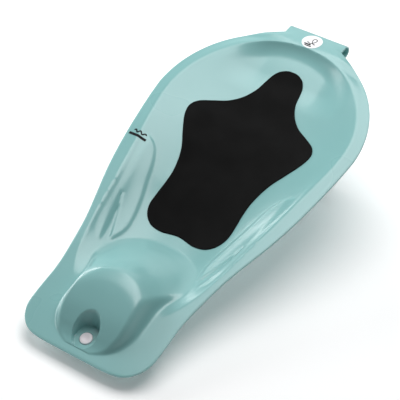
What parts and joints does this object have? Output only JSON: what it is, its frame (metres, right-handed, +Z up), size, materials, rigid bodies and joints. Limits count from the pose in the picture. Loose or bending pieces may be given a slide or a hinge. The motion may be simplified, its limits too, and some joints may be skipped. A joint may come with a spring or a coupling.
{
  "type": "reclined baby bath shell",
  "caption": "Shallow reclined baby bath shell with a hump between the legs, a lobed anti-slip mat, a lift-out drain plug, a rolled hanging hook and a back stand.",
  "frame": {"origin": "on the floor, under the middle of the object's box", "axes": "+Y from the foot end to the head end, +Z up, +X to the right seen from the foot end"},
  "size_m": [0.429, 0.7861, 0.2408],
  "materials": {
    "shell": "gloss, faint pearl",
    "mat": "matt, fine grain",
    "plug": "satin",
    "seal": "matt",
    "badge": "smooth, printed",
    "print": "matt print",
    "screws": "plain",
    "feet": "matt"
  },
  "bodies": {
    "tub": {"tub_shell": "shell", "slip_mat": "mat", "round_badge": "badge", "level_mark": "print", "back_stand": "shell", "stand_screws": "screws", "front_feet": "feet", "stand_feet": "feet"},
    "plug": {"drain_plug": "plug", "plug_seal": "seal"}
  },
  "joints": [
    {"name": "plug_lift", "type": "slide", "parent": "tub", "child": "plug", "axis": [0, -0.2672, 0.9636], "range_m": [0, 0.04]}
  ]
}
